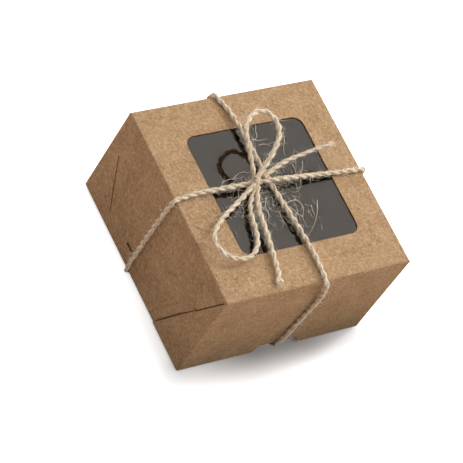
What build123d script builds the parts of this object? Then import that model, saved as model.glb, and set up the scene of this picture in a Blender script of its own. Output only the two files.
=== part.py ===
"""Kraft window gift box tied with jute twine, in millimetres.

A full-depth lid drops over a base tray. Both are folded and locked at the corners by ears.
Origin: centre of the footprint, at the surface the box stands on. +Z up, -Y the notched front.
"""

from build123d import *
import math
import os

os.makedirs("parts", exist_ok=True)

# ---- driving dimensions ----
box_width = 100.0  # X, over the lid's outside ears
box_depth = 100.0  # Y, over the lid's front and back walls
lid_height = 57.0  # rim to top panel
board = 0.5  # kraft board thickness
lid_fit = 0.4  # play between the tray and whatever faces it inside the lid, each side
lid_seat = 0.05  # tray rims to the underside of the lid panel
rim_gap = 0.1  # lid rim above the flattened twine

window_width = 63.0  # X
window_depth = 63.0  # Y
window_corner = 5.0
window_shift_x = 1.2  # the window is cut slightly off the panel's centre
window_shift_y = 1.0
film = 0.2  # clear film thickness
film_margin = 7.0  # glued border round the window

notch_top = 20.0  # finger notch, width at its upper edge
notch_slope = 3.0  # run of each slanted end
notch_height = 5.0
notch_shift = 2.8  # notch centre from the middle of the wall
notch_ease = 0.6  # the tray's notch is this much larger all round
notch_recess = 5.0  # how far the tray's notch runs on into its bottom panel

ear_run = 25.0  # width of an ear at the rim
ear_step = 22.5  # lock tab's upper end, down from the top panel
ear_tab_length = 26.0  # height of the lock tab
ear_hook = 0.4  # step out of the tab's upper end
tab_reach = 4.0  # how far the tab goes behind the wall
slit_width = 0.8
tab_ease = 0.1  # tab in its slit, each side
back_slit_lean = 2.9  # the back slits' upper ends stand this much nearer the back corner
wall_slit_length = 5.0  # short spare slit in the left wall, along the rim
wall_slit_y = 9.4
wall_slit_z = 9.4  # above the rim
tray_ear_run = 24.0  # the tray's plain inner ears
tray_ear_taper = 6.0

foam_height = 40.0
foam_fit = 0.3  # foam to the tray walls and ears
foam_relief_depth = 5.5  # cut under the foam's front edge, behind the notch
foam_relief_height = 6.5

twine = 2.1  # diameter of the two-ply twine
twine_flat = 1.5  # its thickness pressed flat under the box
twine_wide = 2.8  # its width there
twine_gap = 0.05  # twine to board
twine_fold = 1.2  # radius of the twine's centreline over a panel edge
stub = 2.0  # pressed twine that turns up outside the walls, above the rim
twine_end_gap = 0.3  # the lid's twine ends this far above the pressed twine
knot_length = 7.4
knot_width = 6.6
knot_height = 5.4

# ---- levels and faces that follow from them ----
rim = twine_flat + rim_gap
top = rim + lid_height
under = top - board  # underside of the lid panel
side_face = box_width / 2 - board  # lid side walls, outside; the front ears cover them
front_face = box_depth / 2  # lid front and back walls, outside
side_in = side_face - board
front_in = front_face - board
tray_side = side_in - board - lid_fit  # clear of the ears folded inside the lid
tray_front = front_in - lid_fit
tray_top = under - lid_seat
floor_top = twine_flat + board
notch_centre = notch_shift

LEFT, RIGHT = -1, 1
FRONT, BACK = -1, 1


def keep(name, part):
    """Writes one finished piece under its node name."""
    part.label = name
    export_step(part, f"parts/{name}.step")


# ---- lid: top panel with the window ----
with BuildPart() as lid_panel:
    with BuildSketch(Plane.XY.offset(under)):
        Rectangle(2 * side_face, 2 * front_face)
        with Locations((window_shift_x, window_shift_y)):
            RectangleRounded(window_width, window_depth, window_corner, mode=Mode.SUBTRACT)
    extrude(amount=board)
keep("lid_panel", lid_panel.part)

with BuildPart() as window_film:
    with BuildSketch(Plane.XY.offset(under - film)):
        with Locations((window_shift_x, window_shift_y)):
            Rectangle(window_width + 2 * film_margin, window_depth + 2 * film_margin)
    extrude(amount=film)
keep("window_film", window_film.part)


# ---- lid: front and back walls ----
def notch_outline(base_z, grow):
    """The finger notch as a trapezoid standing on the rim, larger by grow all round."""
    half_top = notch_top / 2 + grow
    half_foot = half_top + notch_slope
    upper = rim + notch_height + grow
    return [
        (notch_centre - half_foot, base_z),
        (notch_centre - half_top, upper),
        (notch_centre + half_top, upper),
        (notch_centre + half_foot, base_z),
    ]


with BuildPart() as lid_front_wall:
    with BuildSketch(Plane.XZ.offset(front_in)):
        with Locations((0, (rim + under) / 2)):
            Rectangle(2 * side_face, under - rim)
        with BuildLine():
            Polyline(*notch_outline(rim - 1, 0), close=True)
        make_face(mode=Mode.SUBTRACT)
    extrude(amount=board)
keep("lid_front_wall", lid_front_wall.part)

with BuildPart() as lid_back_wall:
    with BuildSketch(Plane.XZ.offset(-front_in)):
        with Locations((0, (rim + under) / 2)):
            Rectangle(2 * side_face, under - rim)
    extrude(amount=-board)
keep("lid_back_wall", lid_back_wall.part)

# ---- lid: the lock ears and the slits they use, as (y, z) outlines for the front end ----
ear_tip = (-front_in, under)
ear_foot = (-front_in + ear_run, rim)


def along_ear(z):
    """Y of the ear's slanted free edge at height z."""
    share = (under - z) / (under - rim)
    return ear_tip[0] + share * (ear_foot[0] - ear_tip[0])


tab_high = under - ear_step
tab_low = tab_high - ear_tab_length
tab_root_high = (along_ear(tab_high) + ear_hook, tab_high)
tab_root_low = (along_ear(tab_low), tab_low)
ear_outline = [
    (-front_in, under),
    (along_ear(tab_high), tab_high),
    tab_root_high,
    tab_root_low,
    ear_foot,
    (-front_in, rim),
]


def slit_outline(width, start, rise, lean=0.0):
    """A band beside the tab's root line: width across from start, and rise beyond each end.

    lean moves the upper end towards the corner.
    """
    (y1, z1), (y2, z2) = tab_root_high, tab_root_low
    slope = (y1 - lean - y2) / (z1 - z2)
    low, high = z2 - rise, z1 + rise
    foot = y2 + slope * (low - z2) + start
    head = y2 + slope * (high - z2) + start
    return [(foot, low), (head, high), (head + width, high), (foot + width, low)]


def mirrored(points, end):
    """The same outline for the front or the back end of the wall."""
    return [(y * -end, z) for y, z in points]


def side_plate(side, inner, outer):
    """The plane on a side wall's layer, and how far to extrude it outwards."""
    return (Plane.YZ.offset(side * inner), side * (outer - inner))


for side, word in ((LEFT, "left"), (RIGHT, "right")):
    plane, thick = side_plate(side, side_in, side_face)
    with BuildPart() as lid_side_wall:
        with BuildSketch(plane):
            with Locations((0, (rim + under) / 2)):
                Rectangle(2 * front_in, under - rim)
            for end, lean in ((FRONT, 0), (BACK, back_slit_lean)):
                with BuildLine():
                    Polyline(*mirrored(slit_outline(slit_width, 0, tab_ease, lean), end), close=True)
                make_face(mode=Mode.SUBTRACT)
            if side == LEFT:
                with Locations((wall_slit_y, rim + wall_slit_z)):
                    SlotOverall(wall_slit_length, slit_width, mode=Mode.SUBTRACT)
        extrude(amount=thick)
    keep(f"lid_{word}_wall", lid_side_wall.part)

    # Front ear: outside the wall, its tab passing in through the slit and lying behind it.
    plane, thick = side_plate(side, side_face, side_face + board)
    neck_plane, neck = side_plate(side, side_in, side_face)
    tab_plane, tab_thick = side_plate(side, side_in - board, side_in)
    with BuildPart() as lid_front_ear:
        with BuildSketch(plane):
            with BuildLine():
                Polyline(*mirrored(ear_outline, FRONT), close=True)
            make_face()
            with BuildLine():
                Polyline(*slit_outline(slit_width - tab_ease, 0, -tab_ease), close=True)
            make_face()
        extrude(amount=thick)
        with BuildSketch(neck_plane):
            with BuildLine():
                Polyline(*slit_outline(slit_width - 2 * tab_ease, tab_ease, -tab_ease), close=True)
            make_face()
        extrude(amount=neck)
        with BuildSketch(tab_plane):
            with BuildLine():
                Polyline(*slit_outline(tab_reach, tab_ease, -tab_ease), close=True)
            make_face()
        extrude(amount=tab_thick)
    keep(f"lid_ear_front_{word}", lid_front_ear.part)

    # Back ear: folded flat against the inside of the wall.
    with BuildPart() as lid_back_ear:
        with BuildSketch(tab_plane):
            with BuildLine():
                Polyline(*mirrored(ear_outline, BACK), close=True)
            make_face()
        extrude(amount=tab_thick)
    keep(f"lid_ear_back_{word}", lid_back_ear.part)

# ---- tray: bottom panel, walls and ears ----
tray_side_in = tray_side - board
tray_front_in = tray_front - board

with BuildPart() as tray_panel:
    with BuildSketch(Plane.XY.offset(twine_flat)):
        Rectangle(2 * tray_side, 2 * tray_front)
        recess = notch_top + 2 * notch_ease
        with Locations((notch_centre, -tray_front)):
            Trapezoid(recess + 2 * notch_slope, notch_recess, 60, align=(Align.CENTER, Align.MIN),
                      mode=Mode.SUBTRACT)
    extrude(amount=board)
keep("tray_panel", tray_panel.part)

with BuildPart() as tray_front_wall:
    with BuildSketch(Plane.XZ.offset(tray_front_in)):
        with Locations((0, (floor_top + tray_top) / 2)):
            Rectangle(2 * tray_side, tray_top - floor_top)
        with BuildLine():
            Polyline(*notch_outline(rim - 1, notch_ease), close=True)
        make_face(mode=Mode.SUBTRACT)
    extrude(amount=board)
keep("tray_front_wall", tray_front_wall.part)

with BuildPart() as tray_back_wall:
    with BuildSketch(Plane.XZ.offset(-tray_front_in)):
        with Locations((0, (floor_top + tray_top) / 2)):
            Rectangle(2 * tray_side, tray_top - floor_top)
    extrude(amount=-board)
keep("tray_back_wall", tray_back_wall.part)

tray_ear = [
    (-tray_front_in, tray_top),
    (-tray_front_in + tray_ear_run - tray_ear_taper, tray_top),
    (-tray_front_in + tray_ear_run, tray_top - tray_ear_taper),
    (-tray_front_in + tray_ear_run, floor_top + tray_ear_taper),
    (-tray_front_in + tray_ear_run - tray_ear_taper, floor_top),
    (-tray_front_in, floor_top),
]
for side, word in ((LEFT, "left"), (RIGHT, "right")):
    plane, thick = side_plate(side, tray_side_in, tray_side)
    with BuildPart() as tray_side_wall:
        with BuildSketch(plane):
            with Locations((0, (floor_top + tray_top) / 2)):
                Rectangle(2 * tray_front_in, tray_top - floor_top)
        extrude(amount=thick)
    keep(f"tray_{word}_wall", tray_side_wall.part)
    plane, thick = side_plate(side, tray_side_in - board, tray_side_in)
    for end, place in ((FRONT, "front"), (BACK, "back")):
        with BuildPart() as tray_corner_ear:
            with BuildSketch(plane):
                with BuildLine():
                    Polyline(*mirrored(tray_ear, end), close=True)
                make_face()
            extrude(amount=thick)
        keep(f"tray_ear_{place}_{word}", tray_corner_ear.part)

# ---- black foam insert: a block with a relief under its front edge, behind the notch ----
foam_x = tray_side_in - board - foam_fit
foam_y = tray_front_in - foam_fit
with BuildPart() as foam_insert:
    with BuildSketch(Plane.XY.offset(floor_top)):
        Rectangle(2 * foam_x, 2 * foam_y)
    extrude(amount=foam_height)
    with BuildSketch(Plane.XY.offset(floor_top)):
        with Locations((notch_centre, -foam_y)):
            Rectangle(notch_top, 2 * foam_relief_depth)
    extrude(amount=foam_relief_height, mode=Mode.SUBTRACT)
keep("foam_insert", foam_insert.part)

# ---- twine held tight round the box ----
lay = twine / 2 + twine_gap
side_run = side_face + lay  # centreline of the twine on the side walls
front_run = front_face + lay
over = top + lay  # centreline of the twine on the lid panel
pressed = twine_gap + twine_flat / 2
split = rim + stub  # the pressed twine ends here on three sides
notch_split = rim + notch_height + 1.4  # and above the notch on the front
across_y = 3.3  # where the left-right turn passes under the box
along_x = 1.5  # where the front-back turn passes under the box


def tube(points, radii, radius):
    """A round tube along straight runs joined by tangent arcs."""
    with BuildPart() as made:
        with BuildLine() as path:
            FilletPolyline(*points, radius=radii)
        route = path.wire()
        with BuildSketch(Plane(origin=route @ 0, z_dir=route % 0)):
            Circle(radius)
        sweep(path=route)
    check_tube(made.part, route, math.pi * radius**2)
    return made.part


def strap(points, radii, across):
    """Pressed twine: a flattened section along straight runs joined by tangent arcs."""
    with BuildPart() as made:
        with BuildLine() as path:
            FilletPolyline(*points, radius=radii)
        route = path.wire()
        with BuildSketch(Plane(origin=route @ 0, x_dir=across, z_dir=route % 0)) as section:
            RectangleRounded(twine_wide, twine_flat, 0.3)
        sweep(path=route)
    check_tube(made.part, route, section.sketch.area)
    return made.part


def check_tube(part, line, area):
    """Prints the volume against the section times the length."""
    print(f"tube length {line.length:.1f}, volume over section x length {part.volume / (area * line.length):.4f}")


def arc_radii(points, sharp=()):
    """Each corner's radius, from its shorter run and its turn; a corner in sharp has its own."""
    radii = []
    for i in range(1, len(points) - 1):
        before = Vector(points[i]) - Vector(points[i - 1])
        after = Vector(points[i + 1]) - Vector(points[i])
        half_turn = math.radians(before.get_angle(after)) / 2
        run = min(before.length, after.length)
        radii.append(dict(sharp).get(i, 0.45 * run / math.tan(half_turn)))
    print("radii", [round(r, 1) for r in radii])
    return radii


crossing_rise = twine + 0.1  # the side-to-side turn lifts this much where it crosses the other
left_right = [
    (-side_run, across_y, split + twine_end_gap),
    (-side_run, 3.4, over),
    (-37.5, 4.3, over + 0.5),
    (-22.6, 3.3, over + 1.5),
    (-8.7, 2.4, over + crossing_rise),
    (7.2, 1.8, over + crossing_rise - 0.05),
    (28.1, 0.9, over + 0.7),
    (side_run, -0.9, over),
    (side_run, across_y, split + twine_end_gap),
]
turn_left_right = tube(left_right, arc_radii(left_right, ((1, twine_fold), (7, twine_fold))), twine / 2)
keep("twine_left_right", turn_left_right)

back_front = [
    (along_x, front_run, split + twine_end_gap),
    (-6.6, front_run, over),
    (-2.3, 38.4, over + 0.7),
    (-1.6, 20.5, over + 1.6),
    (-0.2, 2.7, over - 0.45),
    (0.8, -15.2, over + 0.8),
    (2.8, -34.1, over + 0.5),
    (2.4, -front_run, over),
    (3.6, -front_run, over - 29.7),
    (along_x, -front_run, notch_split + twine_end_gap),
]
turn_back_front = tube(back_front, arc_radii(back_front, ((1, twine_fold), (7, twine_fold))), twine / 2)
keep("twine_back_front", turn_back_front)

# ---- twine pressed under the tray ----
stub_x = side_face + pressed
stub_y = front_face + pressed
bottom_turn = twine_flat / 2 + 0.15
under_left_right = [
    (-stub_x, across_y, split),
    (-stub_x, across_y, twine_flat / 2),
    (stub_x, across_y, twine_flat / 2),
    (stub_x, across_y, split),
]
keep("twine_under_left_right", strap(under_left_right, [bottom_turn, bottom_turn], (0, 1, 0)))

under_back = [
    (along_x, across_y + twine_wide / 2, twine_flat / 2),
    (along_x, stub_y, twine_flat / 2),
    (along_x, stub_y, split),
]
keep("twine_under_back", strap(under_back, [bottom_turn], (1, 0, 0)))

under_front = [
    (along_x, across_y - twine_wide / 2, twine_flat / 2),
    (along_x, -stub_y + 4.8, twine_flat / 2),
    (along_x, -stub_y, rim + notch_height - 1.4),
    (along_x, -stub_y, notch_split),
]
keep("twine_under_front", strap(under_front, [3.0, 1.2], (1, 0, 0)))

# ---- bow: knot, two loops and two tails ----
bow_over = over + crossing_rise - 2.2  # the bow sits on the crossing and rises with it
knot_at = (-8.7, 1.9, bow_over + 3.0)
with BuildPart() as bow_knot:
    with BuildSketch(Plane.XY.offset(knot_at[2])):
        with Locations(knot_at[:2]):
            Ellipse(knot_length / 2, knot_width / 2)
    extrude(amount=knot_height / 2, both=True)
    fillet(bow_knot.faces().filter_by(Axis.Z).edges(), knot_height * 0.38)
keep("bow_knot", bow_knot.part)

loop_upper = [
    (-10.2, 2.2, bow_over + 5.4),
    (-6.1, 4.9, bow_over + 6.2),
    (-0.9, 9.1, bow_over + 8.5),
    (4.0, 13.3, bow_over + 10.9),
    (7.2, 17.8, bow_over + 12.7),
    (8.2, 22.5, bow_over + 13.9),
    (6.9, 27.1, bow_over + 14.4),
    (3.1, 29.9, bow_over + 14.5),
    (-2.4, 29.0, bow_over + 14.4),
    (-8.0, 24.4, bow_over + 14.0),
    (-9.9, 19.3, bow_over + 12.7),
    (-10.1, 14.8, bow_over + 10.6),
    (-9.8, 10.8, bow_over + 8.1),
    (-9.5, 7.0, bow_over + 5.5),
    (-9.4, 4.4, bow_over + 3.6),
]
loop_lower = [
    (-11.3, 0.7, bow_over + 4.2),
    (-17.7, -3.1, bow_over + 3.5),
    (-23.5, -6.2, bow_over + 3.0),
    (-29.6, -9.3, bow_over + 3.1),
    (-35.7, -13.0, bow_over + 3.2),
    (-41.1, -17.4, bow_over + 3.3),
    (-43.7, -22.6, bow_over + 3.2),
    (-42.1, -28.1, bow_over + 2.9),
    (-37.5, -31.7, bow_over + 2.5),
    (-31.8, -32.5, bow_over + 2.1),
    (-26.2, -30.5, bow_over + 1.7),
    (-21.5, -26.2, bow_over + 1.4),
    (-18.8, -20.0, bow_over + 1.2),
    (-17.2, -12.0, bow_over + 1.0),
    (-14.6, -5.9, bow_over + 1.0),
    (-10.3, -0.1, bow_over + 1.8),
]
tail_upper = [
    (-5.4, 2.8, bow_over + 4.7),
    (0.4, 5.2, bow_over + 4.9),
    (6.2, 7.2, bow_over + 5.3),
    (12.0, 8.2, bow_over + 6.2),
    (18.0, 8.7, bow_over + 7.2),
    (22.9, 9.1, bow_over + 8.2),
    (27.9, 9.2, bow_over + 9.2),
    (32.6, 9.6, bow_over + 10.0),
]
tail_lower = [
    (-7.9, -0.5, bow_over + 2.7),
    (-11.1, -5.9, bow_over + 2.3),
    (-13.7, -12.2, bow_over + 1.8),
    (-15.0, -19.5, bow_over + 1.5),
    (-16.4, -27.3, bow_over + 1.2),
    (-17.7, -34.4, bow_over + 0.9),
    (-19.2, -41.0, bow_over + 0.7),
    (-21.4, -47.0, bow_over + 0.5),
]
for name, route in (
    ("bow_loop_upper", loop_upper),
    ("bow_loop_lower", loop_lower),
    ("bow_tail_upper", tail_upper),
    ("bow_tail_lower", tail_lower),
):
    keep(name, tube(route, arc_radii(route), twine / 2))
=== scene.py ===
import math
import random

import bmesh
import bpy
from mathutils import Matrix, Vector


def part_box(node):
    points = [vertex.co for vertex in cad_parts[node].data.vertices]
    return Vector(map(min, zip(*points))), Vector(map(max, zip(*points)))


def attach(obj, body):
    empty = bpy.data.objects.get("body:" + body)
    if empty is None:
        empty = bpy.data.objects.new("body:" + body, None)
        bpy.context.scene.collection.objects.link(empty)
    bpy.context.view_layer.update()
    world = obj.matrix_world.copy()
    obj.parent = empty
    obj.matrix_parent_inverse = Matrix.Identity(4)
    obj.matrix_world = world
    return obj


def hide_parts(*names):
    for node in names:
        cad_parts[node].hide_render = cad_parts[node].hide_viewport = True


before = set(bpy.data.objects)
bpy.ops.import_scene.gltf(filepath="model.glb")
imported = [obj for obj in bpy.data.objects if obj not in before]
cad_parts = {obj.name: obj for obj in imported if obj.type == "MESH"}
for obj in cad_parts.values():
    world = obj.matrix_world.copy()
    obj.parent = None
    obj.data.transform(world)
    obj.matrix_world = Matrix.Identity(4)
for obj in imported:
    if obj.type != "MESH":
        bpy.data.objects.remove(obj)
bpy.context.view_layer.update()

# Studio. A white table under a light tent: bright behind and to the right, dim on the near left,
# with one harder lamp from the right that gives the twine its short shadows.
mm = 0.001
panel_low, panel_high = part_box("lid_panel")
rim_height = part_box("lid_front_wall")[0].z
lid_centre = Vector((0, 0, (rim_height + panel_high.z) / 2))

look = Vector((0.5457, 0.3653, -0.7541)).normalized()  # steeply down, from the front left corner
upright = Vector((0.1790, 0.8283, 0.5308))  # the camera is tilted, so the box leans to the right
camera_at = Vector((-649.2 * mm, -431.3 * mm, 913.9 * mm))
side = look.cross(upright).normalized()
camera_data = bpy.data.cameras.new("camera")
camera_data.sensor_width = 36
camera_data.lens = 204.8
camera = bpy.data.objects.new("camera", camera_data)
camera.matrix_world = Matrix.Translation(camera_at) @ Matrix(
    (side, side.cross(look), -look)
).transposed().to_4x4()
bpy.context.scene.collection.objects.link(camera)
bpy.context.scene.camera = camera
bpy.context.scene.view_settings.view_transform = "Standard"


def linear(colour):
    """An sRGB hex colour as the linear RGBA that a shader takes."""
    channels = [int(colour[i : i + 2], 16) / 255 for i in (1, 3, 5)]
    return [c / 12.92 if c <= 0.04045 else ((c + 0.055) / 1.055) ** 2.4 for c in channels] + [1]


def add_node(tree, kind, links=(), **settings):
    """Adds a node.

    Settings are its properties or input values, properties first. links maps its inputs to what feeds
    them: a socket, a node, whose first output in use is taken, or a number.
    """
    made = tree.nodes.new(kind)
    for key, value in settings.items():
        if hasattr(made, key):
            setattr(made, key, value)
        else:
            made.inputs[key.replace("_", " ")].default_value = value
    for key, source in dict(links).items():
        if isinstance(source, (int, float)):
            made.inputs[key].default_value = source
            continue
        if isinstance(source, bpy.types.Node):
            source = next(socket for socket in source.outputs if socket.enabled)
        tree.links.new(source, made.inputs[key])
    return made


def new_material(name):
    """An empty node material, its tree and its surface shader."""
    made = bpy.data.materials.new(name)
    made.use_nodes = True
    tree = made.node_tree
    tree.nodes.clear()
    shader = add_node(tree, "ShaderNodeBsdfPrincipled")
    add_node(tree, "ShaderNodeOutputMaterial", {"Surface": shader})
    return made, tree, shader


def set_ramp(ramp, stops):
    """Gives a colour ramp its stops, as (place, hex colour)."""
    band = ramp.color_ramp
    for place, colour in stops[2:]:
        band.elements.new(place)
    for element, (place, colour) in zip(band.elements, stops):
        element.position = place
        element.color = linear(colour)


world = bpy.data.worlds.new("light_tent")
bpy.context.scene.world = world
world.use_nodes = True
tent = world.node_tree
tent.nodes.clear()
tent_view = add_node(tent, "ShaderNodeTexCoord").outputs["Generated"]
tent_towards = Vector((0.64, 0.18, 0.74)).normalized()
tent_facing = add_node(tent, "ShaderNodeVectorMath", {0: tent_view}, operation="DOT_PRODUCT")
tent_facing.inputs[1].default_value = tent_towards
tent_level = add_node(
    tent,
    "ShaderNodeMapRange",
    {"Value": tent_facing},
    interpolation_type="SMOOTHSTEP",
    From_Min=-0.35,
    From_Max=0.75,
    To_Min=0.04,
    To_Max=1.19,
)
tent_light = add_node(tent, "ShaderNodeBackground", {"Strength": tent_level}, Color=(1, 1, 1, 1))
add_node(tent, "ShaderNodeOutputWorld", {"Surface": tent_light})

lamp_from = Vector((0.72, 0.16, 0.60)).normalized()
lamp_data = bpy.data.lights.new("right_lamp", "AREA")
lamp_data.shape = "DISK"
lamp_data.size = 0.22
lamp_data.energy = 5.0
lamp = bpy.data.objects.new("right_lamp", lamp_data)
lamp.location = lid_centre + lamp_from * 1.2
lamp.rotation_mode = "QUATERNION"
lamp.rotation_quaternion = lamp_from.to_track_quat("Z", "Y")
bpy.context.scene.collection.objects.link(lamp)


def select_none():
    """Deselects every object, so that the next operator acts on the new piece alone."""
    for shown in bpy.context.selected_objects:
        shown.select_set(False)


select_none()
bpy.ops.mesh.primitive_plane_add(size=6)
table = bpy.context.object
table.name = "white_table"
table_paint, tree, shader = new_material("white_sweep_with_painted_shadow")
shader.inputs["Roughness"].default_value = 0.9
shader.inputs["Emission Color"].default_value = linear("#FFFFFF")

# The sheet is seen overexposed, so it glows a little for camera rays, less beside the box and least before
# it: a painted shadow that deepens the shadow that the box casts. Before the box its seen colour is darkened
# as well, a painted contact shadow. For other rays its colour is warm, painted warm light cast back on the
# walls, and almost black close before the box, painted shade on the lower front wall.
box_half = 50 * mm
table_at = add_node(tree, "ShaderNodeTexCoord").outputs["Object"]
table_xyz = add_node(tree, "ShaderNodeSeparateXYZ", {"Vector": table_at})
past = {}
for axis in "XY":
    off_centre = add_node(tree, "ShaderNodeMath", {0: table_xyz.outputs[axis]}, operation="ABSOLUTE")
    past_wall = add_node(tree, "ShaderNodeMath", {0: off_centre, 1: box_half}, operation="SUBTRACT")
    past[axis] = add_node(tree, "ShaderNodeMath", {0: past_wall, 1: 0}, operation="MAXIMUM")
past_box = add_node(tree, "ShaderNodeCombineXYZ", past)
from_box = add_node(tree, "ShaderNodeVectorMath", {0: past_box}, operation="LENGTH")
shadow_middle = 6 * mm
aside = add_node(
    tree, "ShaderNodeMath", {0: table_xyz.outputs["X"], 1: shadow_middle}, operation="SUBTRACT"
)
off_middle = add_node(tree, "ShaderNodeMath", {0: aside}, operation="ABSOLUTE")

# Smooth steps: what each is measured by, where it starts and ends, and its value there.
step = {}
for name, measure, start, end, value_at_start, value_at_end in (
    ("beside", from_box, 0, 14 * mm, 0.40, 0.72),
    ("behind", table_xyz.outputs["Y"], -box_half, 10 * mm, 0, 0.26),
    ("before", from_box, 0, 22 * mm, 0, 0.66),
    ("front", table_xyz.outputs["Y"], -box_half, -40 * mm, 1, 0),
    ("middle", off_middle, 12 * mm, 56 * mm, 1, 0.3),
    ("bounce", from_box, 30 * mm, 56 * mm, 0.02, 1),
    ("foot", from_box, 0, 15 * mm, 0.6, 0),
):
    step[name] = add_node(
        tree,
        "ShaderNodeMapRange",
        {"Value": measure},
        interpolation_type="SMOOTHSTEP",
        From_Min=start,
        From_Max=end,
        To_Min=value_at_start,
        To_Max=value_at_end,
    )

seen = add_node(tree, "ShaderNodeLightPath").outputs["Is Camera Ray"]
before_box = add_node(tree, "ShaderNodeMath", {0: step["front"], 1: step["middle"]}, operation="MULTIPLY")
shade_beside = add_node(tree, "ShaderNodeMath", {0: step["beside"], 1: step["behind"]}, operation="ADD")
deeper = add_node(tree, "ShaderNodeMath", {0: step["before"], 1: shade_beside}, operation="SUBTRACT")
deepened = add_node(tree, "ShaderNodeMath", {0: before_box, 1: deeper}, operation="MULTIPLY")
shade = add_node(tree, "ShaderNodeMath", {0: shade_beside, 1: deepened}, operation="ADD")
# Camera rays see the sheet glow, less near the box and least before it: painted shadow.
glow_with_painted_shadow = add_node(tree, "ShaderNodeMath", {0: seen, 1: shade}, operation="MULTIPLY")
tree.links.new(glow_with_painted_shadow.outputs["Value"], shader.inputs["Emission Strength"])

# Other rays see the sheet almost black close before the box, painted shade on the lower front wall, and warm
# further off, painted warm light on the walls.
in_front = add_node(tree, "ShaderNodeMath", {0: table_xyz.outputs["Y"], 1: -box_half}, operation="LESS_THAN")
front_part = add_node(tree, "ShaderNodeMath", {0: in_front, 1: step["bounce"]}, operation="MULTIPLY")
other_part = add_node(tree, "ShaderNodeMath", {0: 1, 1: in_front}, operation="SUBTRACT")
bounce = add_node(tree, "ShaderNodeMath", {0: front_part, 1: other_part}, operation="ADD")
# Camera rays see the sheet darkened to a brownish grey just before the box: a painted contact shadow.
foot = add_node(tree, "ShaderNodeMath", {0: before_box, 1: step["foot"]}, operation="MULTIPLY")
thrown_painted_light, painted_shadow_tone = [
    add_node(tree, "ShaderNodeMix", {"Factor": amount}, data_type="RGBA", A=linear(least), B=linear(most))
    for amount, least, most in ((bounce, "#000000", "#F6E2D8"), (foot, "#F7F7F7", "#8E8379"))
]
seen_links = {"Factor": seen, "A": thrown_painted_light, "B": painted_shadow_tone}
sheet_colour = add_node(tree, "ShaderNodeMix", seen_links, data_type="RGBA")
tree.links.new(sheet_colour.outputs["Result"], shader.inputs["Base Color"])
table.data.materials.append(table_paint)


# Kraft board, 0.5 mm thick: unbleached pulp, uncoated and matt. Fibres a few mm long lie every way in it,
# with cloudy patches, pale and dark strands and a few dark flecks of bark.
kraft, tree, shader = new_material("unbleached_kraft_board")
place = add_node(tree, "ShaderNodeTexCoord").outputs["Object"]
cloud_noise = add_node(tree, "ShaderNodeTexNoise", {"Vector": place}, Scale=85, Detail=7, Roughness=0.6)
board_colour = add_node(tree, "ShaderNodeValToRGB", {"Fac": cloud_noise})
set_ramp(board_colour, [(0.28, "#A17E59"), (0.72, "#BB9872")])

# Each layer has its cells per metre, the stretch that draws them out, its detail and turn, the noise at
# which it starts and is full, its strength and its colour.
board_layers = [
    (900, (1, 1, 1), 4, 0, 0.47, 0.72, 0.75, "#886646"),
    (780, (1, 1, 1), 4, 1.1, 0.49, 0.74, 0.7, "#D2B28C"),
]
for stretch, turn in (((1, 0.1, 1), 0.3), ((0.1, 1, 1), 0.9), ((1, 1, 0.1), 2.1)):
    board_layers.append((2300, stretch, 2, turn, 0.60, 0.74, 0.65, "#DABE9A"))
    board_layers.append((1900, stretch, 2, turn + 1.3, 0.63, 0.76, 0.7, "#69492E"))
for per_metre, stretch, detail, turn, start, full, strength, colour in board_layers:
    turned = add_node(
        tree, "ShaderNodeMapping", {"Vector": place}, Scale=stretch, Rotation=(turn, turn * 0.7, turn)
    )
    strands = add_node(
        tree, "ShaderNodeTexNoise", {"Vector": turned}, Scale=per_metre, Detail=detail, Roughness=0.6
    )
    amount = add_node(
        tree, "ShaderNodeMapRange", {"Value": strands}, From_Min=start, From_Max=full, To_Max=strength
    )
    under = {"Factor": amount, "A": board_colour}
    board_colour = add_node(tree, "ShaderNodeMix", under, data_type="RGBA", B=linear(colour))
fleck_cells = add_node(tree, "ShaderNodeTexVoronoi", {"Vector": place}, Scale=150)
flecks = add_node(
    tree, "ShaderNodeMapRange", {"Value": fleck_cells}, From_Min=0.075, From_Max=0.045, To_Max=0.75
)
under = {"Factor": flecks, "A": board_colour}
board_colour = add_node(tree, "ShaderNodeMix", under, data_type="RGBA", B=linear("#5A3F28"))
tree.links.new(board_colour.outputs["Result"], shader.inputs["Base Color"])
shader.inputs["Roughness"].default_value = 0.86
shader.inputs["Specular IOR Level"].default_value = 0.25
board_grain = add_node(tree, "ShaderNodeTexNoise", {"Vector": place}, Scale=1500, Detail=5, Roughness=0.6)
board_bump = add_node(tree, "ShaderNodeBump", {"Height": board_grain}, Strength=0.35, Distance=0.00012)
tree.links.new(board_bump.outputs["Normal"], shader.inputs["Normal"])

board = 0.5 * mm


def wear(piece, material, body):
    """Gives a finished piece its material and the body that it rides on."""
    piece.data.materials.clear()
    piece.data.materials.append(material)
    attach(piece, body)


def apply_modifier(piece, kind, **settings):
    """Adds a modifier to the piece and applies it."""
    select_none()
    bpy.context.view_layer.objects.active = piece
    piece.select_set(True)
    modifier = piece.modifiers.new(kind.lower(), kind)
    for key, value in settings.items():
        setattr(modifier, key, value)
    bpy.ops.object.modifier_apply(modifier=modifier.name)


def block(name, low, high):
    """A box from its low to its high corner, with its place in its mesh."""
    select_none()
    bpy.ops.mesh.primitive_cube_add(size=1)
    made = bpy.context.object
    made.name = name
    low, high = Vector(low), Vector(high)
    made.data.transform(Matrix.Translation((low + high) / 2) @ Matrix.Diagonal((*(high - low), 1)))
    return made


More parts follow.
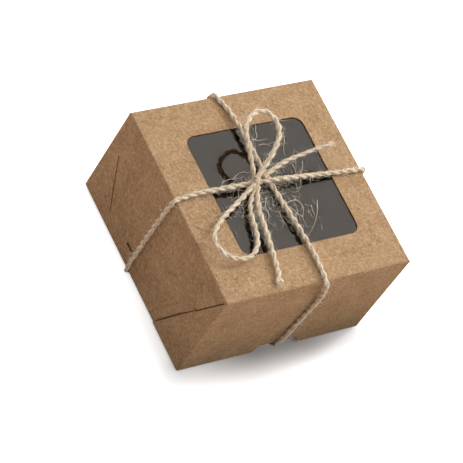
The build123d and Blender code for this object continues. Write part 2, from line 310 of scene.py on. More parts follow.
def edit(piece, chosen, kind="VERT"):
    """Enters edit mode with the elements selected whose place passes the test chosen."""
    select_none()
    bpy.context.view_layer.objects.active = piece
    piece.select_set(True)
    bpy.ops.object.mode_set(mode="EDIT")
    bpy.ops.mesh.select_mode(type=kind)
    bpy.ops.mesh.select_all(action="DESELECT")
    shape = bmesh.from_edit_mesh(piece.data)
    if kind == "VERT":
        for v in shape.verts:
            v.select = chosen(v.co)
    elif kind == "EDGE":
        for e in shape.edges:
            e.select = all(chosen(v.co) for v in e.verts)
    else:
        for f in shape.faces:
            f.select = chosen(f.calc_center_median())
    shape.select_flush_mode()
    bmesh.update_edit_mesh(piece.data)


def edit_upright(piece, chosen):
    """Enters edit mode with the upright edges selected whose two ends pass the test chosen."""
    edit(piece, chosen, "EDGE")
    shape = bmesh.from_edit_mesh(piece.data)
    for e in shape.edges:
        e.select = e.select and abs(e.verts[0].co.z - e.verts[1].co.z) > 5 * mm
    bmesh.update_edit_mesh(piece.data)


def leave_edit():
    """Goes back to object mode, which writes the edit to the mesh."""
    bpy.ops.object.mode_set(mode="OBJECT")


def cut_away(piece, *cutters):
    """Cuts the cutters out of the piece and removes them."""
    for cutter in cutters:
        apply_modifier(piece, "BOOLEAN", operation="DIFFERENCE", solver="EXACT", object=cutter)
        bpy.data.objects.remove(cutter)


# Tray. One folded blank: bottom panel, four walls and four plain ears that lie inside the side walls.
# It and the lid's two back ears hardly show, so they stay as they were cut, in the same board.
for name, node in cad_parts.items():
    if name.startswith("tray_") or name.startswith("lid_ear_back"):
        node.data.materials.clear()
        node.data.materials.append(kraft)


# Foam insert. A block of black polyethylene foam, sawn to size, with fine open cells on its faces and
# a relief under its front edge.
foam_black, tree, shader = new_material("black_closed_cell_foam")
place = add_node(tree, "ShaderNodeTexCoord").outputs["Object"]
cells = add_node(tree, "ShaderNodeTexVoronoi", {"Vector": place}, Scale=1400.0)
cell_tone = add_node(tree, "ShaderNodeValToRGB", {"Fac": cells.outputs["Distance"]})
set_ramp(cell_tone, [(0.1, "#090705"), (0.8, "#0C0A08")])
tree.links.new(cell_tone.outputs["Color"], shader.inputs["Base Color"])
shader.inputs["Roughness"].default_value = 0.95
shader.inputs["Specular IOR Level"].default_value = 0.1
cell_bump = add_node(
    tree, "ShaderNodeBump", {"Height": cells.outputs["Distance"]}, Strength=0.25, Distance=0.0001
)
tree.links.new(cell_bump.outputs["Normal"], shader.inputs["Normal"])

foam_low, foam_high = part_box("foam_insert")
foam = block("foam_insert_block", foam_low, foam_high)
relief_depth = 5.5 * mm
relief_height = 6.5 * mm
notch_centre = 2.8 * mm
notch_top = 20 * mm
relief = block(
    "foam_relief",
    (notch_centre - notch_top / 2, foam_low.y - 1 * mm, foam_low.z - 1 * mm),
    (notch_centre + notch_top / 2, foam_low.y + relief_depth, foam_low.z + relief_height),
)
cut_away(foam, relief)
apply_modifier(foam, "BEVEL", width=0.6 * mm, segments=3, limit_method="ANGLE")
wear(foam, foam_black, "tray")
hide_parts("foam_insert")


# Lid, top panel. The window is die-cut in it, and its four edges turn down over soft creases.
crease = 0.9 * mm
window_side = 63 * mm
window_low = Vector((1.2 * mm - window_side / 2, 1.0 * mm - window_side / 2, 0))
window_high = window_low + Vector((window_side, window_side, 0))
window_corner = 5 * mm
side_face = panel_high.x
front_face = panel_high.y
lid_top = panel_high.z
wall_top = lid_top - crease

top_panel = block(
    "lid_top_panel",
    (panel_low.x, panel_low.y, wall_top),
    (panel_high.x, panel_high.y, lid_top),
)
edit(top_panel, lambda p: p.z > lid_top - 0.01 * mm, "EDGE")
bpy.ops.mesh.bevel(offset=crease * 0.98, segments=6, affect="EDGES")
leave_edit()
edit(top_panel, lambda p: p.z < wall_top + 0.001 * mm, "FACE")
bpy.ops.mesh.delete(type="FACE")
leave_edit()
apply_modifier(top_panel, "SOLIDIFY", thickness=board, offset=-1, use_even_offset=True)
window_cutter = block(
    "window_cutter",
    (window_low.x, window_low.y, lid_top - 5 * mm),
    (window_high.x, window_high.y, lid_top + 5 * mm),
)
edit_upright(window_cutter, lambda p: True)
bpy.ops.mesh.bevel(offset=window_corner, segments=8, affect="EDGES")
leave_edit()
cut_away(top_panel, window_cutter)
wear(top_panel, kraft, "lid")
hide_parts("lid_panel")


# Lid, front wall with its two ears. The finger notch is cut in its lower edge. It folds round both
# front corners, and each ear lies on the outside of a side wall with its lock tab in the slit.
front_low = -front_face
outer_side = side_face + board
corner_fold = 0.9 * mm
ear_reach = 25.5 * mm
front_sheet = block(
    "lid_front_sheet", (-outer_side, front_low, rim_height), (outer_side, front_low + ear_reach, wall_top)
)
edit(front_sheet, lambda p: p.y > front_low + 5 * mm and abs(p.x) < 1 * mm, "FACE")
bpy.ops.mesh.delete(type="FACE")
leave_edit()
edit(front_sheet, lambda p: abs(p.z - (rim_height + wall_top) / 2) > 5 * mm, "FACE")
bpy.ops.mesh.delete(type="FACE")
leave_edit()
edit_upright(front_sheet, lambda p: p.y < front_low + 0.01 * mm)
bpy.ops.mesh.bevel(offset=corner_fold, segments=6, affect="EDGES")
leave_edit()
apply_modifier(front_sheet, "SOLIDIFY", thickness=board, offset=-1, use_even_offset=True)

notch_slope = 3 * mm
notch_height = 5 * mm
notch_cutter = block(
    "notch_cutter",
    (notch_centre - notch_top / 2 - 1.2 * notch_slope, front_low - 2 * mm, rim_height - 0.2 * notch_height),
    (notch_centre + notch_top / 2 + 1.2 * notch_slope, front_low + 2 * mm, rim_height + notch_height),
)
for v in notch_cutter.data.vertices:
    if v.co.z > rim_height:
        v.co.x += 1.2 * notch_slope * (1 if v.co.x < notch_centre else -1)
cut_away(front_sheet, notch_cutter)

under_panel = lid_top - board
tab_high = under_panel - 22.5 * mm
tab_low = tab_high - 26 * mm
ear_run = 25 * mm
ear_hook = 0.4 * mm


def ear_edge(z):
    """Y of an ear's slanted free edge at height z."""
    share = (under_panel - z) / (under_panel - rim_height)
    return front_low + board + share * ear_run


def prism_along_x(name, outline, x_low, x_high):
    """A cutter with a flat outline of (y, z) points, from x_low to x_high."""
    mesh = bpy.data.meshes.new(name)
    count = len(outline)
    points = [(x_low, y, z) for y, z in outline] + [(x_high, y, z) for y, z in outline]
    faces = [tuple(range(count)), tuple(range(2 * count - 1, count - 1, -1))]
    faces += [(i, i + count, (i + 1) % count + count, (i + 1) % count) for i in range(count)]
    mesh.from_pydata(points, [], faces)
    made = bpy.data.objects.new(name, mesh)
    bpy.context.scene.collection.objects.link(made)
    edit(made, lambda p: True)
    bpy.ops.mesh.normals_make_consistent(inside=False)
    leave_edit()
    return made


beyond = 40 * mm
for way in (-1, 1):
    free_outline = [
        (ear_edge(lid_top + 2 * mm), lid_top + 2 * mm),
        (ear_edge(tab_high), tab_high),
        (ear_edge(tab_high) + ear_hook, tab_high),
        (ear_edge(tab_low), tab_low),
        (ear_edge(rim_height - 2 * mm), rim_height - 2 * mm),
        (ear_edge(rim_height) + beyond, rim_height - 2 * mm),
        (ear_edge(rim_height) + beyond, lid_top + 2 * mm),
    ]
    span = sorted((way * (side_face - 3 * mm), way * (outer_side + 3 * mm)))
    cut_away(front_sheet, prism_along_x("ear_cutter", free_outline, *span))
wear(front_sheet, kraft, "lid")
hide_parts("lid_front_wall", "lid_ear_front_left", "lid_ear_front_right")


# Lid, side walls. Each has a slanted slit near either corner for a lock tab, and the left one has a
# short spare slit beside the twine.
slit_width = 0.9 * mm
back_slit_head = 42.2 * mm
seam_gap = 0.6 * mm
spare_slit = (7.0 * mm, 11.8 * mm)
spare_height = rim_height + 9.4 * mm
for word, way in (("left", -1), ("right", 1)):
    x_span = sorted((way * side_face, way * (side_face - board)))
    side_sheet = block(
        f"lid_{word}_sheet",
        (x_span[0], -front_face + board, rim_height),
        (x_span[1], front_face - board, wall_top),
    )
    reach = (x_span[0] - 1 * mm, x_span[1] + 1 * mm)
    cutters = [
        prism_along_x(
            "front_slit",
            [
                (ear_edge(tab_low) - 0.2 * mm, tab_low),
                (ear_edge(tab_high) - 0.2 * mm, tab_high + 0.4 * mm),
                (ear_edge(tab_high) + 1.9 * slit_width, tab_high + 0.4 * mm),
                (ear_edge(tab_high) + 1.3 * slit_width, tab_high - 1.4 * mm),
                (ear_edge((tab_low + tab_high) / 2) + 1.4 * slit_width, (tab_low + tab_high) / 2),
                (ear_edge(tab_low) + 0.9 * slit_width, tab_low),
            ],
            *reach,
        ),
        prism_along_x(
            "ear_seam",
            [
                (ear_edge(tab_high) - 0.2 * mm, tab_high),
                (ear_edge(wall_top - 1 * mm) - 0.2 * mm, wall_top - 1 * mm),
                (ear_edge(wall_top - 1 * mm) + seam_gap, wall_top - 1 * mm),
                (ear_edge(tab_high) + seam_gap, tab_high),
            ],
            *reach,
        ),
        prism_along_x(
            "ear_foot_seam",
            [
                (ear_edge(rim_height + 1.2 * mm) - 0.2 * mm, rim_height + 1.2 * mm),
                (ear_edge(tab_low) - 0.2 * mm, tab_low + 0.2 * mm),
                (ear_edge(tab_low) + 0.7 * slit_width, tab_low + 0.2 * mm),
                (ear_edge(rim_height + 1.2 * mm) + 0.4 * mm, rim_height + 1.2 * mm),
            ],
            *reach,
        ),
        prism_along_x(
            "relief_cut",
            [
                (ear_edge(tab_high) + 0.5 * mm, tab_high - 1.6 * mm),
                (ear_edge(tab_high) + 3.0 * mm, tab_high + 0.7 * mm),
                (ear_edge(tab_high) + 3.0 * mm, tab_high + 0.9 * mm),
                (ear_edge(tab_high) + 0.5 * mm, tab_high - 1.3 * mm),
            ],
            *reach,
        ),
        prism_along_x(
            "back_slit",
            [
                (28.8 * mm, tab_low - 0.6 * mm),
                (34.4 * mm, (tab_low + tab_high) / 2 - 1 * mm),
                (back_slit_head - 0.3 * mm, tab_high + 0.3 * mm),
                (back_slit_head + 0.3 * mm, tab_high + 0.3 * mm),
                (36.0 * mm, (tab_low + tab_high) / 2 - 1 * mm),
                (29.4 * mm, tab_low - 0.6 * mm),
            ],
            *reach,
        ),
    ]
    if way < 0:
        cutters.append(
            prism_along_x(
                "spare_slit",
                [
                    (spare_slit[0], spare_height - 0.8 * mm),
                    (spare_slit[1], spare_height - 1.1 * mm),
                    (spare_slit[1], spare_height + 0.9 * mm),
                    (spare_slit[0], spare_height + 0.7 * mm),
                ],
                *reach,
            )
        )
    cut_away(side_sheet, *cutters)
    wear(side_sheet, kraft, "lid")
    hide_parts(f"lid_{word}_wall")


# Lid, back wall. Plain; its ears are folded flat inside the side walls.
back_sheet = block(
    "lid_back_sheet", (-side_face, front_face - board, rim_height), (side_face, front_face, wall_top)
)
edit_upright(back_sheet, lambda p: p.y > front_face - 0.01 * mm)
bpy.ops.mesh.bevel(offset=board * 0.8, segments=4, affect="EDGES")
leave_edit()
wear(back_sheet, kraft, "lid")
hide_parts("lid_back_wall")


# Window film. Clear polyester, 0.2 mm, glued under the panel round the window: smooth enough to mirror
# the white tent, so the black foam below looks grey.
clear_film, tree, shader = new_material("clear_polyester_film")
shader.inputs["Base Color"].default_value = (1, 1, 1, 1)
shader.inputs["Roughness"].default_value = 0.03
shader.inputs["IOR"].default_value = 1.5
shader.inputs["Transmission Weight"].default_value = 1.0
shader.inputs["Specular Tint"].default_value = linear("#FFF1E2")
film_low, film_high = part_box("window_film")
film = block("window_film_sheet", film_low, film_high)
wear(film, clear_film, "lid")
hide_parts("window_film")


# Twine. Two plies of natural jute twisted to 2.1 mm, dry and hairy: pale straw fibres with browner
# strands, duller where the plies press together. One length goes round the box both ways.
jute, tree, shader = new_material("two_ply_natural_jute")
along_ply = add_node(tree, "ShaderNodeUVMap", uv_map="ply")

# Streaks down a ply: cells to the metre along it and round it, how they lean as fibres are spun, detail.
ply_at = add_node(tree, "ShaderNodeSeparateXYZ", {"Vector": along_ply})
streaks = []
for along, around, slant, detail in ((260, 7, 90, 3), (55, 2, 20, 3), (700, 16, 160, 3), (420, 11, 120, 4)):
    slanted = {0: ply_at.outputs["X"], 1: slant, 2: ply_at.outputs["Y"]}
    lean = add_node(tree, "ShaderNodeMath", slanted, operation="MULTIPLY_ADD")
    across = add_node(tree, "ShaderNodeMath", {0: lean, 1: around}, operation="MULTIPLY")
    down = add_node(tree, "ShaderNodeMath", {0: ply_at.outputs["X"], 1: along}, operation="MULTIPLY")
    flow = add_node(tree, "ShaderNodeCombineXYZ", {"X": down, "Y": across})
    streaks.append(
        add_node(tree, "ShaderNodeTexNoise", {"Vector": flow}, Scale=1, Detail=detail, Roughness=0.65)
    )
tone_streaks, brown_streaks, dark_streaks, relief_streaks = streaks

jute_colour = add_node(tree, "ShaderNodeValToRGB", {"Fac": tone_streaks})
set_ramp(jute_colour, [(0.30, "#A8875F"), (0.44, "#DAC2A0"), (0.66, "#FCF0DE")])
for streak, start, full, strength, colour in (
    (brown_streaks, 0.55, 0.75, 0.5, "#B89A72"),
    (dark_streaks, 0.62, 0.75, 0.6, "#7A5C3A"),
):
    amount = add_node(
        tree, "ShaderNodeMapRange", {"Value": streak}, From_Min=start, From_Max=full, To_Max=strength
    )
    under = {"Factor": amount, "A": jute_colour}
    jute_colour = add_node(tree, "ShaderNodeMix", under, data_type="RGBA", B=linear(colour))
tree.links.new(jute_colour.outputs["Result"], shader.inputs["Base Color"])
shader.inputs["Roughness"].default_value = 0.8
shader.inputs["Specular IOR Level"].default_value = 0.3
shader.inputs["Sheen Weight"].default_value = 0.15
shader.inputs["Sheen Roughness"].default_value = 0.5
ply_bump = add_node(tree, "ShaderNodeBump", {"Height": relief_streaks}, Strength=0.9, Distance=0.00025)
tree.links.new(ply_bump.outputs["Normal"], shader.inputs["Normal"])

twine = 2.1 * mm
twist_pitch = 9.4 * mm
ply_offset = 0.21  # a ply's middle from the twine's, in diameters of the twine
ply_radius = 0.34


def smooth_line(route, step):
    """Points every step along the smooth NURBS line that the route controls. The route is in mm."""
    curve = bpy.data.curves.new("route", "CURVE")
    curve.dimensions = "3D"
    spline = curve.splines.new("NURBS")
    spline.points.add(len(route) - 1)
    for point, place_mm in zip(spline.points, route):
        point.co = (*(Vector(place_mm) * mm), 1)
    spline.order_u = 3
    spline.use_endpoint_u = True
    spline.resolution_u = 24
    holder = bpy.data.objects.new("route", curve)
    mesh = bpy.data.meshes.new_from_object(holder)
    raw = [v.co.copy() for v in mesh.vertices]
    bpy.data.objects.remove(holder)
    bpy.data.meshes.remove(mesh)
    bpy.data.curves.remove(curve)
    length = sum((b - a).length for a, b in zip(raw, raw[1:]))
    count = max(2, round(length / step))
    even, walked, i = [raw[0]], 0.0, 0
    for k in range(1, count):
        target = length * k / count
        while walked + (raw[i + 1] - raw[i]).length < target:
            walked += (raw[i + 1] - raw[i]).length
            i += 1
        even.append(raw[i].lerp(raw[i + 1], (target - walked) / (raw[i + 1] - raw[i]).length))
    return even + [raw[-1]], length


def frames_along(line):
    """A (point, tangent, across, up) at each point of a line, turned as little as can be along it."""
    frames = []
    across = None
    for i, point in enumerate(line):
        tangent = (line[min(i + 1, len(line) - 1)] - line[max(i - 1, 0)]).normalized()
        if across is None:
            across = tangent.cross(Vector((0, 0, 1)))
            if across.length < 0.1:
                across = tangent.cross(Vector((1, 0, 0)))
        across = (across - tangent * across.dot(tangent)).normalized()
        frames.append((point, tangent, across, tangent.cross(across)))
    return frames


def twisted(name, route, seed, body, wide=1.0, flat=1.0, taper=0.0, open_end=0.0):
    """Two plies twisted along a route, as one mesh with a UV map that runs down each ply.

    wide and flat squash the section, taper thins the far end, and open_end parts the plies there.
    """
    rng = random.Random(seed)
    line, length = smooth_line(route, 0.32 * mm)
    frames = frames_along(line)
    slubs = [(rng.uniform(60, 900), rng.uniform(0, 6.28), rng.uniform(0.02, 0.06)) for _ in range(7)]
    sides = 10
    points, faces, ply_uv = [], [], []
    for ply in (0, 1):
        base = len(points)
        for i, (point, tangent, across, up) in enumerate(frames):
            s = length * i / (len(frames) - 1)
            uneven = 1 + sum(a * math.sin(f * s + p + 1.7 * ply) for f, p, a in slubs)
            thin = 1 - taper * max(0.0, s / length - 0.35) / 0.65
            part = 1 + open_end * max(0.0, 1 - (length - s) / (7 * mm))
            angle = 2 * math.pi * s / twist_pitch + math.pi * ply + 0.25 * math.sin(190 * s + seed)
            middle = point + twine * ply_offset * thin * part * (
                across * math.cos(angle) * wide + up * math.sin(angle) * flat
            )
            radius = twine * ply_radius * uneven * thin * (0.7 + 0.3 * part)
            for k in range(sides):
                turn = 2 * math.pi * k / sides
                points.append(middle + radius * (across * math.cos(turn) * wide + up * math.sin(turn) * flat))
                if i:
                    a, b = base + (i - 1) * sides + k, base + (i - 1) * sides + (k + 1) % sides
                    faces.append((a, b, b + sides, a + sides))
                    earlier = s - length / (len(frames) - 1)
                    v0, v1 = k / sides + 3 * ply, (k + 1) / sides + 3 * ply
                    ply_uv += [(earlier, v0), (earlier, v1), (s, v1), (s, v0)]
        for first, turned in ((base, True), (base + (len(frames) - 1) * sides, False)):
            ring = [first + k for k in range(sides)]
            faces.append(tuple(reversed(ring)) if turned else tuple(ring))
            ply_uv += [(0, 0)] * sides
    mesh = bpy.data.meshes.new(name)
    mesh.from_pydata(points, [], faces)
    uv = mesh.uv_layers.new(name="ply")
    for loop, value in zip(uv.data, ply_uv):
        loop.uv = value
    for face in mesh.polygons:
        face.use_smooth = len(face.vertices) == 4
    made = bpy.data.objects.new(name, mesh)
    bpy.context.scene.collection.objects.link(made)
    edit(made, lambda p: True)
    bpy.ops.mesh.normals_make_consistent(inside=False)
    leave_edit()
    wear(made, jute, body)
    return made, line, length


# Loose jute hair. Single fibres that stand off the plies or lie on the film. They are drawn 0.13 to
# 0.26 mm thick, which is thicker than real ones, so that they show.
hair, tree, shader = new_material("single_jute_fibre")
place = add_node(tree, "ShaderNodeTexCoord").outputs["Object"]
hair_noise = add_node(tree, "ShaderNodeTexNoise", {"Vector": place}, Scale=300, Detail=3, Roughness=0.6)
hair_tone = add_node(tree, "ShaderNodeValToRGB", {"Fac": hair_noise})
set_ramp(hair_tone, [(0.35, "#E4CFAE"), (0.65, "#FFFAEC")])
tree.links.new(hair_tone.outputs["Color"], shader.inputs["Base Color"])
shader.inputs["Roughness"].default_value = 0.6
fuzz_thick = 0.15 * mm
fray_thick = 0.14 * mm
stray_thick = 0.26 * mm
haze_thick = 0.13 * mm
bark_thick = 0.2 * mm


def hair_tubes(name, lines, thickness, body):
    """One mesh of thin three-sided tubes, one for each line of points, pointed at its far end."""
    points, faces = [], []
    for line in lines:
        base = len(points)
        for i, (point, tangent, across, up) in enumerate(frames_along(line)):
            radius = thickness / 2 * (1 - 0.7 * i / (len(line) - 1))
            for turn in (0, 2.094, 4.189):
                points.append(point + radius * (across * math.cos(turn) + up * math.sin(turn)))
            if i:
                a = base + (i - 1) * 3
                faces += [(a + k, a + (k + 1) % 3, a + (k + 1) % 3 + 3, a + k + 3) for k in range(3)]
        last = base + (len(line) - 1) * 3
        faces += [(base + 2, base + 1, base), (last, last + 1, last + 2)]
    mesh = bpy.data.meshes.new(name)
    mesh.from_pydata(points, [], faces)
    made = bpy.data.objects.new(name, mesh)
    bpy.context.scene.collection.objects.link(made)
    wear(made, hair, body)
    return made


def fuzz(name, line, per_cm, longest, seed, body, floor=0.0):
    """Hairs that stand off a stretch of twine, more of them short than long."""
    rng = random.Random(seed)
    frames = frames_along(line)
    length = sum((b - a).length for a, b in zip(line, line[1:]))
    lines = []
    for _ in range(round(length / (10 * mm) * per_cm)):
        point, tangent, across, up = frames[rng.randrange(len(frames))]
        turn = rng.uniform(0, 6.283)
        out = across * math.cos(turn) + up * math.sin(turn)
        heading = out * rng.uniform(0.25, 1.0) + tangent * rng.choice((-1, 1)) * rng.uniform(0.3, 1.0)
        heading.normalize()
        curl = Vector((rng.uniform(-1, 1), rng.uniform(-1, 1), rng.uniform(-1, 1))) * rng.uniform(0.1, 0.5)
        reach = longest * rng.random() ** 2.2 + 0.8 * mm
        steps = 5 if reach < 3 * mm else 8
        here = point + out * twine * 0.42
        strand = [here]
        for _ in range(steps):
            here = here + heading * reach / steps
            here.z = max(here.z, floor + 0.1 * mm)
            strand.append(here)
            heading = (heading + curl * 3 / steps).normalized()
        lines.append(strand)
    return hair_tubes(name, lines, fuzz_thick, body)


def frayed(name, line, count, reach, spread, seed, body):
    """The fibres that open out from a cut end of twine."""
    rng = random.Random(seed)
    tip, tangent, across, up = frames_along(line)[-1]
    lines = []
    for _ in range(count):
        turn = rng.uniform(0, 6.283)
        out = across * math.cos(turn) + up * math.sin(turn)
        here = tip - tangent * rng.uniform(0.5, 3.0) * mm + out * twine * rng.uniform(0.05, 0.3)
        heading = (tangent + out * rng.uniform(0, spread)).normalized()
        curl = Vector((rng.uniform(-1, 1), rng.uniform(-1, 1), rng.uniform(-0.6, 0.6))) * 0.35
        long = reach * rng.uniform(0.45, 1.0)
        strand = [here]
        for _ in range(7):
            here = here + heading * long / 7
            here.z = max(here.z, lid_top + 0.15 * mm)
            strand.append(here)
            heading = (heading + curl / 7 * 2).normalized()
        lines.append(strand)
    return hair_tubes(name, lines, fray_thick, body)


# Turns round the box. Pulled tight: down each wall, sharply over each edge of the panel, and rising
# a little to the crossing. Under the box the twine is pressed flat.
over = lid_top / mm + 1.1
side_run = 50.6
front_run = 51.1
across_y = 3.3
along_x = 1.5
left_right_route = [
    (-side_run, across_y, 3.9),
    (-side_run, 3.7, 32),
    (-side_run, 2.7, over - 2.6),
    (-side_run, 2.6, over - 0.1),
    (-side_run + 2.6, 2.8, over),
    (-37.5, 3.9, over + 0.4),
    (-22.6, 2.6, over + 1.4),
    (-8.7, 2.4, over + 2.2),
    (7.2, 1.3, over + 2.1),
    (28.1, 0.3, over + 0.6),
    (side_run - 2.6, -0.9, over - 0.1),
    (side_run - 0.3, -1.0, over - 0.3),
    (side_run, -0.8, over - 2.6),
    (side_run, 0.6, 32),
    (side_run, across_y, 3.9),
]
back_front_route = [
    (along_x, front_run, 3.9),
    (-1.6, front_run, 30),
    (-6.4, front_run, over - 2.6),
    (-5.5, front_run - 0.3, over - 0.5),
    (-4.3, front_run - 2.4, over - 0.2),
    (-2.1, 39.4, over + 0.7),
    (-1.7, 21.0, over + 1.6),
    (-0.2, 2.7, over - 0.45),
    (0.8, -15.2, over + 0.8),
    (2.6, -34.1, over + 0.6),
    (2.2, -44.0, over + 0.4),
    (1.8, -front_run + 0.6, over + 0.2),
    (1.9, -front_run - 1.3, over - 1.6),
    (3.0, -front_run - 1.3, over - 6.5),
    (5.0, -front_run - 0.6, over - 14),
    (5.3, -front_run, over - 24),
    (4.1, -front_run, 24),
    (2.3, -front_run, 9.8),
    (along_x, -front_run, 8.0),
]
turn_left_right, left_right_line, _ = twisted("twine_turn_left_right", left_right_route, 1, "lid", 1.07, 1.03)
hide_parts("twine_left_right")
turn_back_front, back_front_line, _ = twisted("twine_turn_back_front", back_front_route, 2, "lid", 1.07, 1.03)
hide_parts("twine_back_front")
fuzz("hair_on_left_right_turn", left_right_line, 34, 5 * mm, 11, "lid")
fuzz("hair_on_back_front_turn", back_front_line, 34, 5 * mm, 12, "lid")

pressed_wide = 1.25
pressed_flat = 0.68
stub = 50.3
low = 0.75
under_left_right_route = [
    (-stub, across_y, 3.7),
    (-stub, across_y, 2.2),
    (-stub, across_y, low),
    (-stub + 1.5, across_y, low),
    (-20, across_y, low),
    (20, across_y, low),
    (stub - 1.5, across_y, low),
    (stub, across_y, low),
    (stub, across_y, 2.2),
    (stub, across_y, 3.7),
]
under_back_route = [
    (along_x, across_y + 1.2, low),
    (along_x, 25, low),
    (along_x, stub - 1.0, low),
    (along_x, stub + 0.5, low),
    (along_x, stub + 0.5, 2.2),
    (along_x, stub + 0.5, 3.7),
]
under_front_route = [
    (along_x, across_y - 1.2, low),
    (along_x, -20, low),
    (along_x, -stub + 7.0, low),
    (along_x, -stub + 4.3, low),
    (along_x, -stub - 0.2, 4.6),
    (along_x, -stub - 0.5, 6.6),
    (along_x, -stub - 0.5, 8.1),
]
for name, node, route in (
    ("twine_pressed_left_right", "twine_under_left_right", under_left_right_route),
    ("twine_pressed_back", "twine_under_back", under_back_route),
    ("twine_pressed_front", "twine_under_front", under_front_route),
):
    pressed_turn, _, _ = twisted(name, route, len(name), "tray", wide=pressed_wide, flat=pressed_flat)
    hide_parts(node)


# Bow. A knot of two close wraps over the left-right turn, two loops and two cut tails, all of the same
# twine, standing up by its own stiffness.
knot_at = Vector((-9.4, 1.9, over + 2.6))
knot_route = []
for k in range(15):
    turn = 2 * math.pi * k / 6
    knot_route.append(
        (
            knot_at.x - 1.4 + 2.8 * k / 14 + 0.4 * math.sin(turn),
            knot_at.y + 1.6 * math.cos(turn),
            knot_at.z + 1.6 * math.sin(turn),
        )
    )
knot, _, _ = twisted("twine_knot", knot_route, 5, "lid", wide=0.9, flat=0.9)
knot_cross_route = [
    (knot_at.x - 2.6, knot_at.y - 2.4, knot_at.z - 1.0),
    (knot_at.x - 1.9, knot_at.y - 2.0, knot_at.z + 1.6),
    (knot_at.x - 0.6, knot_at.y - 0.6, knot_at.z + 2.9),
    (knot_at.x + 1.4, knot_at.y + 1.0, knot_at.z + 2.4),
    (knot_at.x + 2.2, knot_at.y + 2.2, knot_at.z + 0.2),
]
twisted("twine_knot_cross", knot_cross_route, 6, "lid", wide=0.9, flat=0.9)
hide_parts("bow_knot")

loop_upper_route = [
    (-10.2, 2.2, over + 5.4),
    (-6.1, 4.9, over + 6.2),
    (-0.9, 9.1, over + 8.5),
    (4.0, 13.3, over + 10.9),
    (7.2, 17.8, over + 12.7),
    (8.2, 22.5, over + 13.9),
    (6.9, 27.3, over + 14.4),
    (3.1, 30.3, over + 14.4),
    (-2.6, 29.4, over + 14.4),
    (-8.2, 24.6, over + 14.0),
    (-10.0, 19.3, over + 12.7),
    (-10.1, 14.8, over + 10.6),
    (-9.8, 10.8, over + 8.1),
    (-9.5, 7.0, over + 5.5),
    (-9.4, 4.4, over + 3.6),
]
loop_lower_route = [
    (-11.3, 0.7, over + 4.2),
    (-17.7, -3.1, over + 3.5),
    (-23.5, -6.2, over + 3.0),
    (-29.6, -9.3, over + 3.1),
    (-35.7, -12.8, over + 3.2),
    (-41.3, -17.2, over + 3.3),
    (-44.0, -22.6, over + 3.2),
    (-42.3, -28.3, over + 2.9),
    (-37.5, -32.0, over + 2.5),
    (-31.7, -32.8, over + 2.1),
    (-26.1, -30.7, over + 1.7),
    (-21.9, -26.0, over + 1.4),
    (-19.8, -19.6, over + 1.2),
    (-18.4, -11.6, over + 1.0),
    (-15.5, -5.7, over + 1.0),
    (-10.3, -0.1, over + 1.8),
]
tail_upper_route = [
    (-5.4, 2.8, over + 4.7),
    (0.4, 5.2, over + 4.9),
    (6.2, 7.2, over + 5.3),
    (12.0, 8.2, over + 6.2),
    (18.0, 8.7, over + 7.2),
    (22.9, 9.1, over + 8.2),
    (27.9, 9.2, over + 9.2),
    (32.6, 9.6, over + 10.0),
]
tail_lower_route = [
    (-9.3, -0.2, over + 2.7),
    (-12.3, -5.5, over + 2.3),
    (-14.2, -12.0, over + 1.8),
    (-15.1, -19.5, over + 1.5),
    (-16.4, -27.3, over + 1.2),
    (-17.7, -34.4, over + 0.9),
    (-19.2, -41.0, over + 0.7),
    (-21.2, -46.6, over + 0.5),
]
bow = (
    ("bow_loop_upper", loop_upper_route, "object", 1.15, 0.0, 0.0),
    ("bow_loop_lower", loop_lower_route, "object", 1.0, 0.0, 0.0),
    ("bow_tail_upper", tail_upper_route, "bare", 1.0, 0.4, 0.0),
    ("bow_tail_lower", tail_lower_route, "bare", 1.08, 0.0, 1.1),
)
for seed, (node, route, far_end, wide, taper, open_end) in enumerate(bow):
    strand, line, length = twisted(f"{node}_twine", route, 20 + seed, "lid", wide, 1.0, taper, open_end)
    on_it = [fuzz(f"{node}_hair", line, 30, 4.5 * mm, 30 + seed, "lid", floor=lid_top)]
    if far_end == "bare":
        on_it.append(frayed(f"{node}_frayed_end", line, 26, 5 * mm, 0.35, 40 + seed, "lid"))
    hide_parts(node)


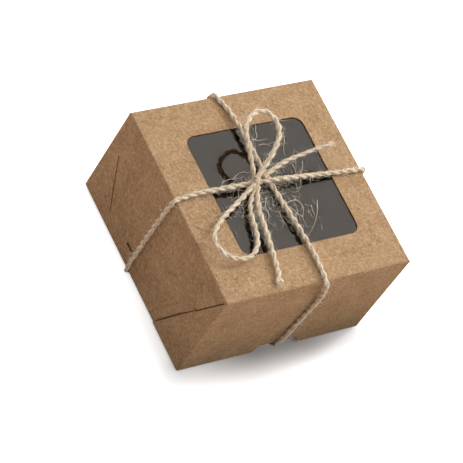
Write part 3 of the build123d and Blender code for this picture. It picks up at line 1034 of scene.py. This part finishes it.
# Stray fibres. Long hairs that came off the twine and lie curled on the film, a haze of short ones round
# the knot, and one dark fibre of bark on the board. The long ones' points are in mm, seen from above.
on_film = 58.4 * mm
stray_routes = [
    [(8.5, 32), (6.5, 29), (6.5, 26), (2.5, 24.5), (2, 21)],
    [(20, 25.5), (19, 21.5), (15.5, 17.5), (14.5, 13)],
    [(2.5, -9.5), (7, -8), (10, -9.5), (10.5, -12), (8, -14.5)],
    [(8.5, -8), (11, -10.5), (10, -14.5), (7, -18), (7.5, -21.5)],
    [(3, -11), (5.5, -13), (6, -16), (8, -17.5)],
    [(19, -11), (16.5, -16), (13.5, -20), (10, -23.5), (5.5, -27)],
    [(15, -12.5), (14, -16), (14, -20)],
    [(22, 9.5), (20, 5.5), (16, 1.5), (15, -3)],
    [(16, 9), (16.5, 5), (13, 0.5), (12, -4.5)],
    [(-17, 7.5), (-13, 10), (-9.5, 10.5), (-7.5, 9), (-4.5, 10)],
    [(-23, 7), (-18, 8.5), (-15.5, 7), (-11, 8)],
    [(4.5, 21.5), (8, 22.5), (10, 20)],
    [(3, 25.5), (6.5, 23), (10.5, 24.5)],
    [(-5, -4.5), (-8.5, -8.5), (-7.5, -12.5), (-10.5, -16)],
    [(-19.5, -4.5), (-18.5, -8.5), (-22, -11.5), (-20.5, -14.5)],
]
stray_lines = []
for rise, plan in enumerate(stray_routes):
    line, _ = smooth_line([(x, y, on_film / mm + 0.15 * (rise % 3)) for x, y in plan], 0.8 * mm)
    stray_lines.append(line)
hair_tubes("stray_fibres", stray_lines, stray_thick, "lid")

bark, tree, shader = new_material("bark_fibre")
place = add_node(tree, "ShaderNodeTexCoord").outputs["Object"]
bark_noise = add_node(tree, "ShaderNodeTexNoise", {"Vector": place}, Scale=400, Detail=3, Roughness=0.6)
bark_tone = add_node(tree, "ShaderNodeValToRGB", {"Fac": bark_noise})
set_ramp(bark_tone, [(0.35, "#5E3E26"), (0.65, "#8A6240")])
tree.links.new(bark_tone.outputs["Color"], shader.inputs["Base Color"])
shader.inputs["Roughness"].default_value = 0.7
bark_line, _ = smooth_line([(-47, -10, 58.65), (-44, -13, 58.7), (-41, -15.5, 58.65)], 0.8 * mm)
bark_fibre = hair_tubes("bark_fibre_on_board", [bark_line], bark_thick, "lid")
bark_fibre.data.materials[0] = bark

rng = random.Random(77)
haze_count = 180
haze_lines = []
window_edge = 1 * mm
while len(haze_lines) < haze_count:
    here = Vector((rng.gauss(-4, 12), rng.gauss(-5, 9), 0)) * mm
    heading = Vector((rng.uniform(-1, 1), rng.uniform(-1, 1), 0)).normalized()
    bend = rng.uniform(-0.9, 0.9)
    reach = rng.uniform(2, 7) * mm
    strand = []
    for k in range(8):
        strand.append(Vector((here.x, here.y, on_film + 0.2 * mm * math.sin(k))))
        here = here + heading * reach / 7
        heading = Matrix.Rotation(bend / 2, 3, "Z") @ heading
    inside = all(
        window_low.x + window_edge < p.x < window_high.x - window_edge
        and window_low.y + window_edge < p.y < window_high.y - window_edge
        for p in strand
    )
    if inside:
        haze_lines.append(strand)
hair_tubes("hair_haze_on_film", haze_lines, haze_thick, "lid")
